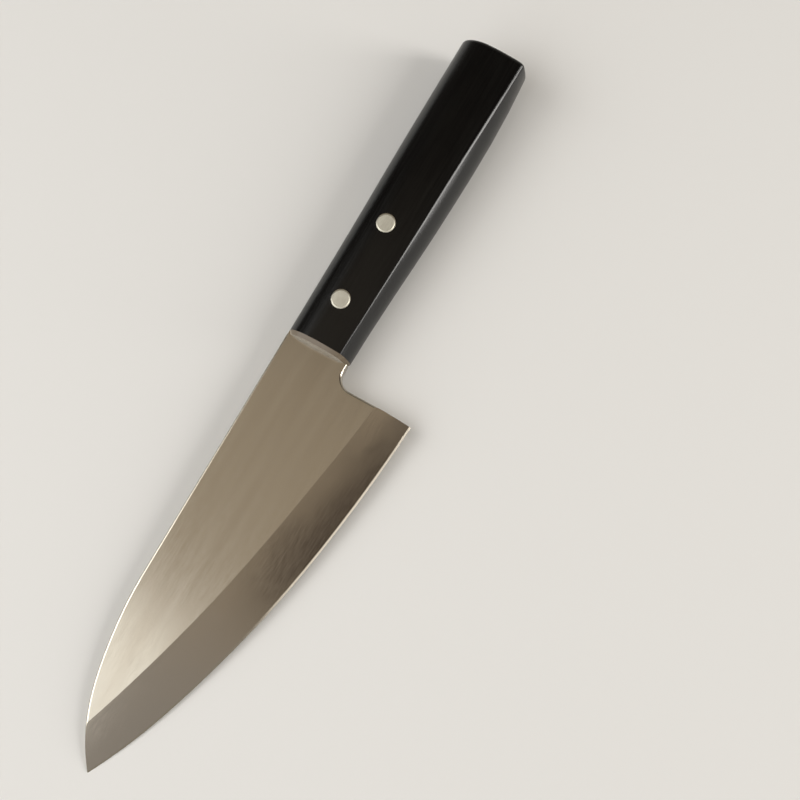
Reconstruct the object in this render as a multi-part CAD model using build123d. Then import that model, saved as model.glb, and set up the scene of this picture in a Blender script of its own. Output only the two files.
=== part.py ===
from build123d import *
from math import cos, radians, sin
import os

# A right-handed deba knife. The thick blade is ground on one side only and hollowed on the other.
# Its partial tang sits in a kerf sawn from the spine into a D-section handle of black laminated wood,
# and two rivets, each a pin pressed into a tube, hold it there.
# X runs from the butt to the tip, Y from the spine to the cutting edge, and the ground side looks up.
# While it is built, X = 0 is the handle's front, Y = 0 the spine and Z = 0 the blade's flat back.

# Blade in plan
blade_length = 150.0
blade_width = 53.0
heel_gap = 7.7
notch_radius = 5.4
spine_run = 88.5
tip_drop = 18.2
# Where the spine's fall and the cutting edge pass, heel to tip, as shares of length and of height
spine_fall_shares = ((0.744, 0.118), (0.911, 0.52))
edge_shares = ((0.26, 0.898), (0.505, 0.722), (0.744, 0.449), (0.911, 0.186))
heel_slope_share = 0.05
edge_tip_slope_share = 0.52
spine_tip_slope_share = 0.78
heel_end_share = 0.1

# Blade thickness and grinding
neck_thickness = 4.2
middle_thickness = 3.4
tip_thickness = 1.9
face_round = 0.8
back_round = 0.3
bevel_width = 16.2
bevel_shares = (
    (0.0, 0.84), (0.13, 0.9), (0.3, 0.97), (0.5, 1.0), (0.744, 0.98), (0.911, 0.91), (1.0, 0.86),
)
bevel_bulge = 0.14
edge_thickness = 0.3
small_bevel_width = 0.55
edge_land = 0.05

# Hollow in the blade's back, inside a flat rim
hollow_rim = 3.0
hollow_depth = 0.45
hollow_shares = (
    (0.05, 0.04), (0.12, 0.7), (0.25, 1.0), (0.45, 1.0), (0.65, 1.0), (0.78, 0.8), (0.88, 0.04),
)

# Tang and the kerf that holds it, open to the front and the spine
tang_tail = 13.0
tang_width_share = 0.7
tang_relief = 0.15
kerf_clearance = 0.05
kerf_end_gap = 0.3

# Handle, with its sections from the front to the butt as shares.
# Straight spans between sections keep its mesh light, and are short enough to look smooth.
handle_length = 126.0
handle_width = 27.3
handle_thickness = 18.2
spine_swell = 0.5
width_shares = (0.875, 0.934, 1.0, 0.952)
swell_shares = (0.0, 0.1, 0.9, 1.0)
thickness_shares = (0.824, 0.923, 1.0, 0.956)
body_spans = 9
crown_share = 0.42
keel_share = 0.62
ridge_height_share = 0.4
belly_drop_share = 0.12
ridge_front_share = 0.863
ridge_butt_share = 0.957
ridge_front_round = 0.9
ridge_butt_round = 2.0
front_ease_length = 1.4
front_ease_depth = 0.9
butt_edge_round = 1.2
butt_edge_spans = 3
butt_crown_rise = 0.9
butt_crown_inset = 4.0
butt_crown_spans = 2

# Rivets
rivet_setback = 18.0
rivet_pitch = 31.0
rivet_line_share = 0.473
rivet_head_radius = 3.5
rivet_head_depth = 2.3
rivet_rim_width = 0.6
rivet_rim_drop = 0.3
tube_radius = 2.25
pin_radius = 1.5
rivet_fit = 0.02
rivet_clearance = 0.05
pin_end_gap = 0.5

# One overrun serves all cuts
overrun = 1.0

heel_x = heel_gap
tip_x = heel_gap + blade_length
front_width = handle_width * width_shares[0]
front_thickness = handle_thickness * thickness_shares[0]
mid_z = neck_thickness / 2
rivet_y = front_width * rivet_line_share
rivet_places = {"front": -rivet_setback, "rear": -rivet_setback - rivet_pitch}
tang_length = rivet_setback + rivet_pitch + tang_tail
tang_width = front_width * tang_width_share
seat_reach = front_thickness / 2 - rivet_head_depth


def across(x):
    """The plane square to the knife at x, with Y and Z as its own axes."""
    return Plane(origin=(x, 0, 0), x_dir=(0, 1, 0), z_dir=(1, 0, 0))


def along(share):
    """The x at a share of the way from heel to tip."""
    return heel_x + blade_length * share


def y_at(curve, x):
    """Where a curve whose X only rises passes x, found by halving."""
    low, high = 0.0, 1.0
    for step in range(30):
        middle = (low + high) / 2
        if (curve @ middle).X < x:
            low = middle
        else:
            high = middle
    return (curve @ high).Y


def ground_top(x):
    """Height of the ground side, whose taper quickens towards the tip."""
    return y_at(face_profile, x)


# The ground side seen from the edge, then the blade's curves in plan
face_profile = ThreePointArc(
    (0, neck_thickness), (tip_x / 2, middle_thickness), (tip_x, tip_thickness),
)
tip = (tip_x, tip_drop)
heel = (heel_x, blade_width)
spine_end = (heel_x + spine_run, 0)
edge_height = blade_width - tip_drop
spine_points = [(along(share), tip_drop * fall) for share, fall in spine_fall_shares]
edge_points = [(along(share), tip_drop + edge_height * rise) for share, rise in edge_shares]
spine_fall = Spline(
    [spine_end, *spine_points, tip],
    tangents=[(1, 0), (1, spine_tip_slope_share)],
)
edge_curve = Spline(
    [heel, *edge_points, tip],
    tangents=[(1, -heel_slope_share), (1, -edge_tip_slope_share)],
)


def spine_y(x):
    """The spine is straight as far as its fall."""
    return y_at(spine_fall, x) if x > spine_end[0] else 0


def blade_plan():
    """Outline from the handle's front round the tip to the heel and its notch."""
    notch_start = (heel_x - notch_radius, front_width)
    notch_end = (heel_x, front_width + notch_radius)
    return make_face([
        Line((0, 0), spine_end),
        spine_fall,
        edge_curve,
        Line(heel, notch_end),
        TangentArc(notch_start, notch_end, tangent=(1, 0)),
        Line(notch_start, (0, front_width)),
        Line((0, front_width), (0, 0)),
    ])


def run_on(outer, inner):
    """Points on the line through two points of a slope, one past each of them."""
    slope = (inner[1] - outer[1]) / (outer[0] - inner[0])
    low = (outer[0] + overrun, outer[1] - slope * overrun)
    high = (inner[0] - overrun, inner[1] + slope * overrun)
    return low, high


def bevel_tool():
    """Takes the wide bevel off, slightly convex from the edge up to the ridge line."""
    sections = []
    for share, width_share in bevel_shares:
        x = along(share)
        edge_y = y_at(edge_curve, x)
        outer = (edge_y, edge_thickness)
        inner = (edge_y - bevel_width * width_share, ground_top(x))
        middle = ((outer[0] + inner[0]) / 2, (outer[1] + inner[1]) / 2 + bevel_bulge)
        low, high = run_on(outer, inner)
        ground = [Line(low, outer), ThreePointArc(outer, middle, inner), Line(inner, high)]
        sections.append(across(x) * make_face([*ground, Polyline(high, (low[0], high[1]), low)]))
    return loft(sections)


def small_bevel_tool():
    """Takes the narrow, steeper bevel off along the very edge."""
    sections = []
    for share, width_share in bevel_shares:
        x = along(share)
        edge_y = y_at(edge_curve, x)
        slope = (ground_top(x) - edge_thickness) / (bevel_width * width_share)
        inner = (edge_y - small_bevel_width, edge_thickness + slope * small_bevel_width)
        low, high = run_on((edge_y, edge_land), inner)
        sections.append(across(x) * make_face(Polyline(low, high, (low[0], high[1]), close=True)))
    return loft(sections)


def hollow_tool():
    """Shallow dish, each section an arc between the flat rims of the spine and the edge."""
    sections = []
    for share, depth_share in hollow_shares:
        x = along(share)
        near_y = spine_y(x) + hollow_rim
        far_y = y_at(edge_curve, x) - hollow_rim
        depth = hollow_depth * depth_share
        arc = ThreePointArc((near_y, 0), ((near_y + far_y) / 2, depth), (far_y, 0))
        below = Polyline((far_y, 0), (far_y, -overrun), (near_y, -overrun), (near_y, 0))
        sections.append(across(x) * make_face([arc, below]))
    return loft(sections)


def taper_tool():
    """Everything above the ground side."""
    start, end = -overrun, tip_x + overrun
    roof = neck_thickness + 2 * overrun
    walls = Polyline(
        (tip_x, tip_thickness), (end, tip_thickness), (end, roof), (start, roof),
        (start, neck_thickness), (0, neck_thickness),
    )
    profile = Plane.XZ * make_face([face_profile, walls])
    return extrude(profile, blade_width + overrun, both=True)


def d_section(x, width, thickness, ridge_y, ridge_round, swell=0, inset=0):
    """D-shaped section of the handle: oval, with one rounded ridge low on the upper side."""
    ridge_y = ridge_y * (width - 2 * inset) / width
    half_width = width / 2 - inset
    half_thickness = thickness / 2 - inset
    crown_y = 2 * half_width * crown_share
    keel_y = 2 * half_width * keel_share
    belly_drop = 2 * half_thickness * belly_drop_share
    belly_depth = half_thickness - belly_drop
    belly_z = mid_z - belly_drop
    crown = (crown_y, mid_z + half_thickness)
    ridge = (ridge_y, mid_z + 2 * half_thickness * ridge_height_share)
    belly = (2 * half_width, belly_z)
    outline = make_face([
        EllipticalCenterArc((crown_y, mid_z), crown_y, half_thickness, 90, arc_size=90),
        TangentArc(crown, ridge, tangent=(1, 0)),
        TangentArc(belly, ridge, tangent=(0, 1)),
        EllipticalCenterArc((keel_y, belly_z), 2 * half_width - keel_y, belly_depth, 270, arc_size=90),
        EllipticalCenterArc((keel_y, mid_z), keel_y, half_thickness, 180, arc_size=90),
    ])
    corner = outline.vertices().sort_by_distance((*ridge, 0))[0]
    return across(x) * Pos(inset - swell, 0, 0) * fillet(corner, ridge_round)


def share_curve(shares):
    """Smooth curve through shares that stand evenly spaced from the handle's front to its butt."""
    last = len(shares) - 1
    return Spline([(place / last, share) for place, share in enumerate(shares)])


def butt_profile():
    """How far back and how far in each section of the butt lies: a rounded edge, then a low crown."""
    profile = []
    for span in range(1, butt_edge_spans + 1):
        turn = radians(90 * span / butt_edge_spans)
        profile.append((butt_edge_round * sin(turn), butt_edge_round * (1 - cos(turn))))
    for span in range(1, butt_crown_spans + 1):
        way = span / butt_crown_spans
        back = butt_edge_round + butt_crown_rise * sin(radians(90 * way))
        profile.append((back, butt_edge_round + butt_crown_inset * way))
    return profile


def handle_envelope():
    """The handle's outer form, before it is eased, cut and drilled."""
    body_length = handle_length - butt_edge_round - butt_crown_rise
    ridge_front = front_width * ridge_front_share
    ridge_butt = handle_width * width_shares[-1] * ridge_butt_share
    widths = share_curve(width_shares)
    thicknesses = share_curve(thickness_shares)
    swells = share_curve(swell_shares)
    sections = []
    for span in range(body_spans + 1):
        way = span / body_spans
        ridge_y = ridge_front + (ridge_butt - ridge_front) * way
        width = handle_width * y_at(widths, way)
        thickness = handle_thickness * y_at(thicknesses, way)
        swell = spine_swell * y_at(swells, way)
        ridge_round = ridge_front_round + (ridge_butt_round - ridge_front_round) * way
        x = -body_length * way
        sections.append(d_section(x, width, thickness, ridge_y, ridge_round, swell))
    for back, inset in butt_profile():
        x = -body_length - back
        sections.append(d_section(x, width, thickness, ridge_butt, ridge_round, swell, inset))
    return loft(sections, ruled=True)


def slab(x_low, x_high, y_high, z_low, z_high):
    """Plate that reaches from outside the handle's spine to y_high."""
    y_low = -spine_swell - overrun
    size = (x_high - x_low, y_high - y_low, z_high - z_low)
    return Pos(x_low, y_low, z_low) * Box(*size, align=Align.MIN)


def rod(x, radius, z_low, z_high):
    """Round bar on a rivet's axis."""
    base = Pos(x, rivet_y, z_low)
    return base * Cylinder(radius, z_high - z_low, align=(Align.CENTER, Align.CENTER, Align.MIN))


low_seat = mid_z - seat_reach
high_seat = mid_z + seat_reach
below_handle = mid_z - handle_thickness
above_handle = mid_z + handle_thickness


def rims(body, upper):
    """Edges of one face of the blade along the spine, the neck, the notch and the heel."""
    picked = []
    for edge in body.edges():
        middle = edge @ 0.5
        is_level = abs((edge % 0.5).Z) < abs((edge % 0.5).X) + abs((edge % 0.5).Y)
        on_face = (middle.Z > tip_thickness / 2) == upper
        off_handle = middle.X > 0
        off_cutting_edge = middle.Y < tip_drop or middle.X < along(heel_end_share)
        if is_level and on_face and off_handle and off_cutting_edge:
            picked.append(edge)
    return picked


def make_blade(envelope):
    """Blade and tang in one piece of steel."""
    body = extrude(blade_plan(), neck_thickness + overrun) - taper_tool()
    body = fillet(rims(body, upper=True), face_round)
    body = fillet(rims(body, upper=False), back_round)
    body = body - hollow_tool() - bevel_tool() - small_bevel_tool()
    tang = slab(-tang_length, 0, tang_width, tang_relief, neck_thickness - tang_relief) & envelope
    blade = body + tang
    for x in rivet_places.values():
        blade -= rod(x, tube_radius + rivet_clearance, -overrun, neck_thickness + overrun)
    return blade


def front_waste():
    """What a sloping cut round the handle's front edge takes away."""
    form = (front_width, front_thickness, front_width * ridge_front_share, ridge_front_round)
    back = -2 * front_ease_length
    small = d_section(0, *form, inset=front_ease_depth)
    large = d_section(back, *form, inset=-front_ease_depth)
    block = slab(back, 0, handle_width + overrun, below_handle, above_handle)
    return block - loft([large, small], ruled=True)


def make_handle(envelope):
    """One block of wood: front eased, kerf sawn from the spine, two stepped rivet holes."""
    handle = envelope - front_waste()
    kerf_end = -tang_length - kerf_end_gap
    kerf_low = tang_relief - kerf_clearance
    kerf_high = neck_thickness - tang_relief + kerf_clearance
    handle -= slab(kerf_end, overrun, tang_width + kerf_clearance, kerf_low, kerf_high)
    for x in rivet_places.values():
        handle -= rod(x, tube_radius + rivet_clearance, low_seat - overrun, high_seat + overrun)
        handle -= rod(x, rivet_head_radius + rivet_fit, below_handle, low_seat)
        handle -= rod(x, rivet_head_radius + rivet_fit, high_seat, above_handle)
    return handle


def rivet_head(x, envelope, z_low, z_high):
    """Round head ground to the handle's own surface, with its rim eased."""
    head = rod(x, rivet_head_radius, z_low, z_high) & envelope
    side = head.faces().filter_by(GeomType.CYLINDER)[0]
    rim = [edge for edge in side.edges() if edge.geom_type not in (GeomType.CIRCLE, GeomType.LINE)]
    return chamfer(rim, rivet_rim_drop, rivet_rim_width, reference=side)


def make_tube(x, envelope):
    """Lower half of a rivet: a head, and a tube through wood and tang."""
    head = rivet_head(x, envelope, below_handle, low_seat)
    tube = head + rod(x, tube_radius, low_seat, high_seat - pin_end_gap)
    return tube - rod(x, pin_radius + rivet_fit, low_seat, high_seat)


def make_pin(x, envelope):
    """Upper half of a rivet: a head, and a pin pressed into the tube."""
    head = rivet_head(x, envelope, high_seat, above_handle)
    return head + rod(x, pin_radius, low_seat + pin_end_gap, high_seat)


envelope = handle_envelope()
pieces = {"blade": make_blade(envelope), "handle": make_handle(envelope)}
for place, x in rivet_places.items():
    pieces[f"{place}_rivet_tube"] = make_tube(x, envelope)
    pieces[f"{place}_rivet_pin"] = make_pin(x, envelope)

# The origin is the middle of the knife's box, on its underside
boxes = [piece.bounding_box() for piece in pieces.values()]
middle_x = (min(box.min.X for box in boxes) + max(box.max.X for box in boxes)) / 2
middle_y = (min(box.min.Y for box in boxes) + max(box.max.Y for box in boxes)) / 2
lowest_z = min(box.min.Z for box in boxes)
to_origin = Pos(-middle_x, -middle_y, -lowest_z)

os.makedirs("parts", exist_ok=True)
for name, piece in pieces.items():
    placed = to_origin * piece
    placed.label = name
    export_step(placed, f"parts/{name}.step")
    print(name, len(placed.solids()), round(placed.volume), placed.is_valid)
print("origin shift", to_origin.position)
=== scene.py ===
import math

import bpy
from bpy.props import FloatProperty, FloatVectorProperty, PointerProperty
from mathutils import Matrix, Quaternion, Vector


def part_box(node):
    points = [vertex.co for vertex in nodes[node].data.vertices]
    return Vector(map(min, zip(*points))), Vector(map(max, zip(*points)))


bl_info = {
    "name": "Deba Knife",
    "version": (1, 1, 0),
    "blender": (4, 5, 0),
    "location": "3D View > Sidebar > Deba Knife",
    "description": "Finishes the steel, wood and rivets of a single-bevel deba knife and sets its stage",
    "category": "Object",
}

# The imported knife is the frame. X runs from butt to tip, Y from spine to cutting edge,
# and the ground side of the blade looks up. Everything is in metres.
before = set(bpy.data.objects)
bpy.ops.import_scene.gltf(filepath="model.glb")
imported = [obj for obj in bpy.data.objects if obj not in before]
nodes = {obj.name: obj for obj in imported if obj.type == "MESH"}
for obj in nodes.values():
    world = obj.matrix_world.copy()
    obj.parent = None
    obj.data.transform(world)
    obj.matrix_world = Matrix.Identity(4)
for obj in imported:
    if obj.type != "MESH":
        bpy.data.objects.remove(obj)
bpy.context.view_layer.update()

MM = 0.001
blade_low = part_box("blade")[0]
handle_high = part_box("handle")[1]
RIVET_NODES = ("front_rivet_pin", "front_rivet_tube", "rear_rivet_pin", "rear_rivet_tube")

# How strongly the finer noise is mixed in. Most of the noise lies between the low and the high
# value, so these two are spread to 0 and 1.
NOISE_ROUGHNESS = 0.6
NOISE_LOW = 0.3
NOISE_HIGH = 0.7

# How far a surface is turned to the edge where the bevel starts, and to the tip where the seal starts.
BEVEL_TURN = (0.05, 0.08)
SEAL_TURN = (0.3, 0.45)
RESIN_IOR = 1.5

FLOOR_HALF = 3.0
FLOOR_ROUGHNESS = 0.9
# Blender takes the width of the sensor in millimetres.
SENSOR_WIDTH = 36.0

# The zones of the studio dome, by the parts of a unit direction: X to the tip, Y to the edge's side
# and Z up. Each pair gives where a zone starts to show and where it shows in full.
CEILING_Z = (0.7, 0.93)
SPINE_SIDE_Y = (0.35, -0.1)
OVER_TIP_X = (0.06, 0.2)
PALE_BAND_Z = (0.12, 0.02)
# The dark card is a band across this direction, with two long sides and one end.
CARD_ACROSS = (0.83, 0.56, 0.0)
CARD_BUTT_SIDE = (0.1, 0.145)
CARD_TIP_SIDE = (0.38, 0.3)
CARD_END_X = (0.11, 0.03)
# The dark zone over the butt and the wall past it go by the part along this direction.
BUTT_ALONG = (1.0, 0.0, 0.35)
BUTT_ZONE = (0.18, 0.03)
END_WALL = (-0.3, -0.45)


def linear(hex_colour):
    """Turns an sRGB hex colour into the linear RGBA that a shader takes."""
    channels = [int(hex_colour[place:place + 2], 16) / 255 for place in (1, 3, 5)]
    lit = [c / 12.92 if c <= 0.04045 else ((c + 0.055) / 1.055) ** 2.4 for c in channels]
    return (*lit, 1.0)


def add(tree, kind, links=None, **settings):
    """Adds a node. Settings are its attributes; links give each input a value or the output that feeds it."""
    made = tree.nodes.new(kind)
    for name, value in settings.items():
        setattr(made, name, value)
    for key, value in (links or {}).items():
        if isinstance(value, bpy.types.NodeSocket):
            tree.links.new(value, made.inputs[key])
        else:
            made.inputs[key].default_value = value
    return made


def blank_material(name):
    """A material with only its shader and output, ready for its nodes."""
    material = bpy.data.materials.new(name)
    material.use_nodes = True
    tree = material.node_tree
    tree.nodes.clear()
    shader = add(tree, "ShaderNodeBsdfPrincipled")
    add(tree, "ShaderNodeOutputMaterial", {"Surface": shader.outputs["BSDF"]})
    return material, tree, shader


def streaks(tree, width, length, detail=3.0):
    """Noise drawn out along the knife: lines of a real width and length, spread from 0 to 1."""
    place = add(tree, "ShaderNodeTexCoord")
    stretched = add(tree, "ShaderNodeMapping", {
        "Vector": place.outputs["Object"],
        "Scale": (1 / length, 1 / width, 1 / width),
    })
    noise = add(tree, "ShaderNodeTexNoise", {
        "Vector": stretched.outputs["Vector"],
        "Scale": 1.0,
        "Detail": detail,
        "Roughness": NOISE_ROUGHNESS,
    })
    return add(tree, "ShaderNodeMapRange", {
        "Value": noise.outputs["Fac"],
        "From Min": NOISE_LOW,
        "From Max": NOISE_HIGH,
    }).outputs["Result"]


def turned_to(tree, axis, turn):
    """How far the surface is turned to an axis: 0 up to the turn's start and 1 from its end."""
    normal = add(tree, "ShaderNodeNewGeometry").outputs["Normal"]
    parts = add(tree, "ShaderNodeSeparateXYZ", {"Vector": normal})
    return add(tree, "ShaderNodeMapRange", {
        "Value": parts.outputs[axis],
        "From Min": turn[0],
        "From Max": turn[1],
    }).outputs["Result"]


def satin_steel(look):
    """Molybdenum stainless steel, belt ground lengthwise; the bevels are stoned finer."""
    # A warm grey mirror, softened by hairlines that run from heel to tip.
    # The bevel is the sharper mirror of the two, so it shows the room more darkly.
    material, tree, shader = blank_material("stainless_steel_satin_ground")
    hairlines = streaks(tree, look.line_width, look.line_length)
    passes = streaks(tree, look.pass_width, look.pass_length, detail=1.0)
    on_bevel = turned_to(tree, "Y", BEVEL_TURN)
    face = add(tree, "ShaderNodeMix", {
        "Factor": passes,
        "A": look.dull[:],
        "B": look.bright[:],
    }, data_type="RGBA")
    tint = add(tree, "ShaderNodeMix", {
        "Factor": on_bevel,
        "A": face.outputs["Result"],
        "B": look.bevel[:],
    }, data_type="RGBA")
    polish = add(tree, "ShaderNodeMapRange", {
        "Value": on_bevel,
        "To Min": look.face_roughness,
        "To Max": look.bevel_roughness,
    })
    rough = add(tree, "ShaderNodeMath", {
        0: hairlines,
        1: look.line_roughness,
        2: polish.outputs["Result"],
    }, operation="MULTIPLY_ADD")
    relief = add(tree, "ShaderNodeMapRange", {
        "Value": on_bevel,
        "To Min": look.face_relief,
        "To Max": look.bevel_relief,
    })
    bump = add(tree, "ShaderNodeBump", {
        "Height": hairlines,
        "Strength": relief.outputs["Result"],
        "Distance": look.line_depth,
    })
    tree.links.new(tint.outputs["Result"], shader.inputs["Base Color"])
    tree.links.new(rough.outputs["Value"], shader.inputs["Roughness"])
    tree.links.new(bump.outputs["Normal"], shader.inputs["Normal"])
    shader.inputs["Metallic"].default_value = 1.0
    return material


def laminated_wood(look):
    """Black resin-laminated wood, sanded lengthwise and buffed; pale resin seals its front end."""
    # Near black with a soft gloss. Only slanting light shows its thin layers.
    material, tree, shader = blank_material("black_laminated_wood_buffed")
    layers = streaks(tree, look.layer_width, look.layer_length)
    at_front = turned_to(tree, "X", SEAL_TURN)
    wood = add(tree, "ShaderNodeMix", {
        "Factor": layers,
        "A": look.dark[:],
        "B": look.light[:],
    }, data_type="RGBA")
    tint = add(tree, "ShaderNodeMix", {
        "Factor": at_front,
        "A": wood.outputs["Result"],
        "B": look.sealed_front[:],
    }, data_type="RGBA")
    rough = add(tree, "ShaderNodeMath", {
        0: layers,
        1: look.layer_roughness,
        2: look.roughness,
    }, operation="MULTIPLY_ADD")
    bump = add(tree, "ShaderNodeBump", {
        "Height": layers,
        "Strength": look.layer_relief,
        "Distance": look.layer_depth,
    })
    tree.links.new(tint.outputs["Result"], shader.inputs["Base Color"])
    tree.links.new(rough.outputs["Value"], shader.inputs["Roughness"])
    tree.links.new(bump.outputs["Normal"], shader.inputs["Normal"])
    shader.inputs["IOR"].default_value = RESIN_IOR
    return material


def rivet_metal(look):
    """Nickel silver, faced off with the wood and buffed."""
    # Paler and softer than the blade, with a brighter ring where the rim is eased.
    material, tree, shader = blank_material("nickel_silver_buffed")
    marks = streaks(tree, look.mark_width, look.mark_length)
    tint = add(tree, "ShaderNodeMix", {
        "Factor": marks,
        "A": look.dull[:],
        "B": look.bright[:],
    }, data_type="RGBA")
    rough = add(tree, "ShaderNodeMath", {
        0: marks,
        1: look.mark_roughness,
        2: look.roughness,
    }, operation="MULTIPLY_ADD")
    tree.links.new(tint.outputs["Result"], shader.inputs["Base Color"])
    tree.links.new(rough.outputs["Value"], shader.inputs["Roughness"])
    shader.inputs["Metallic"].default_value = 1.0
    return material


def colour(name, description, default):
    """A colour that the user can set."""
    return FloatVectorProperty(
        name=name,
        description=description,
        default=linear(default),
        subtype="COLOR",
        size=4,
        min=0.0,
        max=1.0,
    )


def size(name, description, default):
    """A length that the user can set."""
    return FloatProperty(
        name=name,
        description=description,
        default=default,
        subtype="DISTANCE",
        unit="LENGTH",
        precision=5,
    )


def share(name, description, default):
    """A share from nothing to all that the user can set."""
    return FloatProperty(
        name=name,
        description=description,
        default=default,
        subtype="FACTOR",
        min=0.0,
        max=1.0,
    )


def brightness(name, description, default):
    """A lamp's brightness that the user can set."""
    return FloatProperty(
        name=name,
        description=description,
        default=default,
        min=0.0,
    )


def angle(name, description, degrees):
    """An angle that the user can set."""
    return FloatProperty(
        name=name,
        description=description,
        default=math.radians(degrees),
        subtype="ANGLE",
        unit="ROTATION",
    )


class BladeLook(bpy.types.PropertyGroup):
    """Colours and polish of the blade."""

    dull: colour("Face, duller", "Steel of the flat face in a duller belt pass", "#C9C2B3")
    bright: colour("Face, brighter", "Steel of the flat face in a brighter belt pass", "#D0CABC")
    bevel: colour("Bevel", "Steel of the stoned bevels", "#C7BFB1")
    face_roughness: share("Face roughness", "Roughness of the flat face between its hairlines", 0.15)
    bevel_roughness: share("Bevel roughness", "Roughness of the bevels between their hairlines", 0.12)
    line_roughness: share("Hairline roughness", "How much rougher a hairline is", 0.08)
    face_relief: share("Face relief", "How strongly the hairlines of the flat face stand out", 0.2)
    bevel_relief: share("Bevel relief", "How strongly the hairlines of the bevels stand out", 0.07)
    # Real belt lines are about 0.05 mm wide, too fine to show here, so they are drawn five times as wide.
    line_width: size("Hairline width", "Width of one hairline", 0.25 * MM)
    line_length: size("Hairline length", "Length of one hairline", 6 * MM)
    line_depth: size("Hairline depth", "Depth of one hairline", 0.008 * MM)
    pass_width: size("Belt pass width", "Width of one pass of the belt", 5 * MM)
    pass_length: size("Belt pass length", "Length over which one pass fades", 70 * MM)


class HandleLook(bpy.types.PropertyGroup):
    """Colours and layers of the handle."""

    dark: colour("Wood, dark", "Layers soaked black", "#040404")
    light: colour("Wood, light", "Layers that took less dye", "#0C0C0A")
    sealed_front: colour("Sealed front", "Resin seal on the handle's front end", "#6E6252")
    roughness: share("Roughness", "Roughness of the buffed wood", 0.19)
    layer_roughness: share("Layer roughness", "How much rougher the lighter layers are", 0.07)
    layer_relief: share("Layer relief", "How strongly the layers stand out", 0.15)
    layer_width: size("Layer width", "Thickness of one layer of veneer", 0.5 * MM)
    layer_length: size("Layer length", "Length of one streak in a layer", 30 * MM)
    layer_depth: size("Layer depth", "Depth of the sanding along a layer", 0.015 * MM)


class RivetLook(bpy.types.PropertyGroup):
    """Colours and polish of the rivets."""

    dull: colour("Metal, duller", "Duller buffing marks", "#D2CEBE")
    bright: colour("Metal, brighter", "Brighter buffing marks", "#E0DDCF")
    roughness: share("Roughness", "Roughness of the rivet heads between their marks", 0.5)
    mark_roughness: share("Mark roughness", "How much rougher a buffing mark is", 0.1)
    # Real buffing marks are as fine as the belt lines and are drawn as wide, to show at all.
    mark_width: size("Mark width", "Width of one buffing mark", 0.25 * MM)
    mark_length: size("Mark length", "Length of one buffing mark", 2 * MM)


class StageLook(bpy.types.PropertyGroup):
    """Floor, light and camera."""

    floor: colour("Floor", "Colour of the floor", "#E4E3E0")
    horizon: colour("Horizon", "Studio light from low down and from the spine's side", "#DEDDDA")
    far_wall: colour("Far wall", "Studio light from the edge's side and from past the butt", "#A09C94")
    overhead: colour("Overhead", "Studio light from overhead", "#ADA08F")
    over_tip: colour("Over the tip", "Studio light from overhead, past the tip", "#A19D9A")
    shade: colour("Shade", "Dark card over the edge, and the dark zone over the butt", "#352B26")
    # A brightness of 1 is white.
    key: brightness("Key light", "Brightness of the softbox that the face mirrors near the tip", 1.02)
    fill: brightness("Fill light", "Brightness of the softbox at the spine's side", 1.7)
    edge: brightness("Edge light", "Brightness of the softbox that the small bevel mirrors", 0.95)
    rim: brightness("Rim light", "Brightness of the softbox that the handle's ridge mirrors", 10.0)
    lens: FloatProperty(
        name="Lens",
        description="Focal length of the camera",
        default=63.0,
        unit="CAMERA",
    )
    distance: size("Distance", "From the camera to what it looks at", 0.4724)
    aim: FloatVectorProperty(
        name="Aim",
        description="What the camera looks at, from the neck corner of the blade",
        default=(0.00186, 0.0459, 0.0042),
        subtype="XYZ",
        unit="LENGTH",
    )
    lean_to_tip: angle("Lean to the tip", "How far the camera leans toward the tip", 11)
    lean_to_edge: angle("Lean to the edge", "How far the camera leans toward the edge", 9)
    heading: angle("Heading", "Direction of the knife's length in the picture", -120.25)


class KNIFE_OT_blade(bpy.types.Operator):
    """Gives the blade its ground and stoned steel"""

    bl_idname = "knife.blade"
    bl_label = "Finish the Blade"

    def execute(self, context):
        nodes["blade"].material_slots[0].material = satin_steel(context.scene.knife_blade)
        return {"FINISHED"}


class KNIFE_OT_handle(bpy.types.Operator):
    """Gives the handle its black laminated wood"""

    bl_idname = "knife.handle"
    bl_label = "Finish the Handle"

    def execute(self, context):
        nodes["handle"].material_slots[0].material = laminated_wood(context.scene.knife_handle)
        return {"FINISHED"}


class KNIFE_OT_rivets(bpy.types.Operator):
    """Gives both rivets their buffed metal"""

    bl_idname = "knife.rivets"
    bl_label = "Finish the Rivets"

    def execute(self, context):
        metal = rivet_metal(context.scene.knife_rivets)
        for name in RIVET_NODES:
            nodes[name].material_slots[0].material = metal
        return {"FINISHED"}


def make_floor(look):
    """A wide matte board that leans just enough to touch both the tip and the handle, as a table would."""
    # Matte paint gives an even pale ground that mirrors nothing.
    material, tree, shader = blank_material("matte_painted_board")
    shader.inputs["Base Color"].default_value = look.floor
    shader.inputs["Roughness"].default_value = FLOOR_ROUGHNESS
    tip = max((vertex.co for vertex in nodes["blade"].data.vertices), key=lambda point: point.x)
    handle_points = [vertex.co for vertex in nodes["handle"].data.vertices]
    slope = max((tip.z - point.z) / (tip.x - point.x) for point in handle_points)
    half = FLOOR_HALF
    plan = ((-half, -half), (half, -half), (half, half), (-half, half))
    corners = [(x, y, slope * x) for x, y in plan]
    mesh = bpy.data.meshes.new("floor")
    mesh.from_pydata(corners, [], [(0, 1, 2, 3)])
    mesh.materials.append(material)
    floor = bpy.data.objects.new("floor", mesh)
    floor.location = (0, 0, tip.z - slope * tip.x)
    bpy.context.collection.objects.link(floor)


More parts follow.
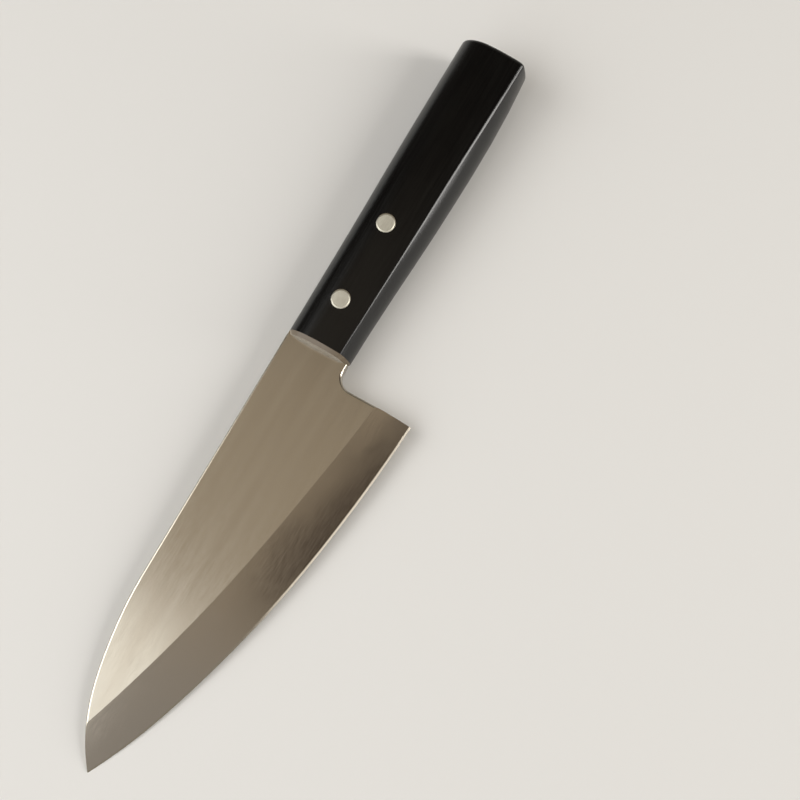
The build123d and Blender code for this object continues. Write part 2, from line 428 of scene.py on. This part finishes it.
def softbox(name, brightness, tint, direction, distance, width, height, roll=0):
    """An area lamp that faces the knife from a direction. Its power follows from its size and brightness."""
    lamp = bpy.data.lights.new(name, "AREA")
    lamp.shape = "RECTANGLE"
    lamp.size = width
    lamp.size_y = height
    lamp.energy = brightness * math.pi * width * height
    lamp.color = linear(tint)[:3]
    holder = bpy.data.objects.new(name, lamp)
    away = Vector(direction).normalized()
    holder.location = away * distance
    holder.rotation_mode = "QUATERNION"
    holder.rotation_quaternion = away.to_track_quat("Z", "Y") @ Quaternion((0, 0, 1), math.radians(roll))
    bpy.context.collection.objects.link(holder)


def studio_dome(look):
    """A dome, pale low down and dimmer overhead, with a dark card over the edge and shade over the butt."""
    world = bpy.data.worlds.new("studio_dome")
    bpy.context.scene.world = world
    world.use_nodes = True
    tree = world.node_tree
    tree.nodes.clear()
    way = add(tree, "ShaderNodeTexCoord").outputs["Generated"]
    parts = add(tree, "ShaderNodeSeparateXYZ", {"Vector": way})
    overhead = add(tree, "ShaderNodeMapRange", {
        "Value": parts.outputs["Z"],
        "From Min": CEILING_Z[0],
        "From Max": CEILING_Z[1],
    }, interpolation_type="SMOOTHSTEP")
    toward_spine = add(tree, "ShaderNodeMapRange", {
        "Value": parts.outputs["Y"],
        "From Min": SPINE_SIDE_Y[0],
        "From Max": SPINE_SIDE_Y[1],
    }, interpolation_type="SMOOTHSTEP")
    over_tip = add(tree, "ShaderNodeMapRange", {
        "Value": parts.outputs["X"],
        "From Min": OVER_TIP_X[0],
        "From Max": OVER_TIP_X[1],
    }, interpolation_type="SMOOTHSTEP")
    ceiling = add(tree, "ShaderNodeMix", {
        "Factor": over_tip.outputs["Result"],
        "A": look.overhead[:],
        "B": look.over_tip[:],
    }, data_type="RGBA")
    wall = add(tree, "ShaderNodeMix", {
        "Factor": toward_spine.outputs["Result"],
        "A": look.far_wall[:],
        "B": look.horizon[:],
    }, data_type="RGBA")
    sky = add(tree, "ShaderNodeMix", {
        "Factor": overhead.outputs["Result"],
        "A": wall.outputs["Result"],
        "B": ceiling.outputs["Result"],
    }, data_type="RGBA")
    across_card = add(tree, "ShaderNodeVectorMath", {
        0: way,
        1: CARD_ACROSS,
    }, operation="DOT_PRODUCT")
    card_butt_side = add(tree, "ShaderNodeMapRange", {
        "Value": across_card.outputs["Value"],
        "From Min": CARD_BUTT_SIDE[0],
        "From Max": CARD_BUTT_SIDE[1],
    }, interpolation_type="SMOOTHSTEP")
    card_tip_side = add(tree, "ShaderNodeMapRange", {
        "Value": across_card.outputs["Value"],
        "From Min": CARD_TIP_SIDE[0],
        "From Max": CARD_TIP_SIDE[1],
    }, interpolation_type="SMOOTHSTEP")
    card_band = add(tree, "ShaderNodeMath", {
        0: card_butt_side.outputs["Result"],
        1: card_tip_side.outputs["Result"],
    }, operation="MULTIPLY")
    card_end = add(tree, "ShaderNodeMapRange", {
        "Value": parts.outputs["X"],
        "From Min": CARD_END_X[0],
        "From Max": CARD_END_X[1],
    }, interpolation_type="SMOOTHSTEP")
    card = add(tree, "ShaderNodeMath", {
        0: card_band.outputs["Value"],
        1: card_end.outputs["Result"],
    }, operation="MULTIPLY")
    clear_of_card = add(tree, "ShaderNodeMath", {
        0: 1.0,
        1: card.outputs["Value"],
    }, operation="SUBTRACT")
    from_butt = add(tree, "ShaderNodeVectorMath", {
        0: way,
        1: BUTT_ALONG,
    }, operation="DOT_PRODUCT")
    clear_of_butt = add(tree, "ShaderNodeMapRange", {
        "Value": from_butt.outputs["Value"],
        "From Min": BUTT_ZONE[1],
        "From Max": BUTT_ZONE[0],
    }, interpolation_type="SMOOTHSTEP")
    past_butt = add(tree, "ShaderNodeMapRange", {
        "Value": from_butt.outputs["Value"],
        "From Min": END_WALL[0],
        "From Max": END_WALL[1],
    }, interpolation_type="SMOOTHSTEP")
    unlit = add(tree, "ShaderNodeMix", {
        "Factor": past_butt.outputs["Result"],
        "A": look.shade[:],
        "B": look.far_wall[:],
    }, data_type="RGBA")
    lit = add(tree, "ShaderNodeMath", {
        0: clear_of_card.outputs["Value"],
        1: clear_of_butt.outputs["Result"],
    }, operation="MULTIPLY")
    above = add(tree, "ShaderNodeMix", {
        "Factor": lit.outputs["Value"],
        "A": unlit.outputs["Result"],
        "B": sky.outputs["Result"],
    }, data_type="RGBA")
    over_band = add(tree, "ShaderNodeMapRange", {
        "Value": parts.outputs["Z"],
        "From Min": PALE_BAND_Z[1],
        "From Max": PALE_BAND_Z[0],
    }, interpolation_type="SMOOTHSTEP")
    dome = add(tree, "ShaderNodeMix", {
        "Factor": over_band.outputs["Result"],
        "A": look.horizon[:],
        "B": above.outputs["Result"],
    }, data_type="RGBA")
    light = add(tree, "ShaderNodeBackground", {"Color": dome.outputs["Result"]})
    add(tree, "ShaderNodeOutputWorld", {"Surface": light.outputs["Background"]})


def make_camera(look):
    """Leans over the knife and is turned so that the blade points down and left."""
    tip, edge, turn = look.lean_to_tip, look.lean_to_edge, look.heading
    back = Vector((math.sin(tip) * math.cos(edge), math.sin(edge), math.cos(tip) * math.cos(edge)))
    along = Vector((1, 0, 0))
    length = (along - back * along.dot(back)).normalized()
    across = back.cross(length)
    right = length * math.cos(turn) - across * math.sin(turn)
    up = length * math.sin(turn) + across * math.cos(turn)
    neck = Vector((handle_high.x, blade_low.y, blade_low.z))
    place = neck + Vector(look.aim) + back * look.distance
    camera = bpy.data.cameras.new("camera")
    camera.sensor_width = SENSOR_WIDTH
    camera.lens = look.lens
    holder = bpy.data.objects.new("camera", camera)
    holder.matrix_world = Matrix.Translation(place) @ Matrix((right, up, back)).transposed().to_4x4()
    bpy.context.collection.objects.link(holder)
    bpy.context.scene.camera = holder


class KNIFE_OT_stage(bpy.types.Operator):
    """Sets the floor, the soft light and the camera"""

    bl_idname = "knife.stage"
    bl_label = "Set the Stage"

    def execute(self, context):
        look = context.scene.knife_stage
        make_floor(look)
        studio_dome(look)
        softbox(
            "key_softbox", look.key, "#FAFCFF",
            direction=(0.615, -0.53, 0.583), distance=1.0, width=1.35, height=1.35, roll=45,
        )
        softbox(
            "fill_softbox", look.fill, "#FFFCF8",
            direction=(0.26, -0.66, 0.7), distance=1.1, width=0.8, height=0.6,
        )
        softbox(
            "edge_softbox", look.edge, "#FFFCF8",
            direction=(0.02, 0.87, 0.49), distance=1.0, width=0.5, height=0.22,
        )
        softbox(
            "rim_softbox", look.rim, "#FFFCF8",
            direction=(-0.35, 0.84, 0.415), distance=1.9, width=0.6, height=1.4,
        )
        make_camera(look)
        context.scene.view_settings.view_transform = "Standard"
        return {"FINISHED"}


class KNIFE_PT_panel(bpy.types.Panel):
    """Lists the steps that finish the knife"""

    bl_label = "Deba Knife"
    bl_space_type = "VIEW_3D"
    bl_region_type = "UI"
    bl_category = "Deba Knife"

    def draw(self, context):
        for step in STEPS:
            self.layout.operator(step.bl_idname)


STEPS = (KNIFE_OT_blade, KNIFE_OT_handle, KNIFE_OT_rivets, KNIFE_OT_stage)
LOOKS = {
    "knife_blade": BladeLook,
    "knife_handle": HandleLook,
    "knife_rivets": RivetLook,
    "knife_stage": StageLook,
}


def register():
    """Makes the looks, steps and panel known to Blender"""
    for name, look in LOOKS.items():
        bpy.utils.register_class(look)
        setattr(bpy.types.Scene, name, PointerProperty(type=look))
    for step in (*STEPS, KNIFE_PT_panel):
        bpy.utils.register_class(step)


def unregister():
    """Takes the panel, steps and looks away again"""
    for step in reversed((*STEPS, KNIFE_PT_panel)):
        bpy.utils.unregister_class(step)
    for name, look in LOOKS.items():
        delattr(bpy.types.Scene, name)
        bpy.utils.unregister_class(look)


def main():
    """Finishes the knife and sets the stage"""
    register()
    bpy.ops.knife.blade()
    bpy.ops.knife.handle()
    bpy.ops.knife.rivets()
    bpy.ops.knife.stage()


if __name__ == "__main__":
    main()
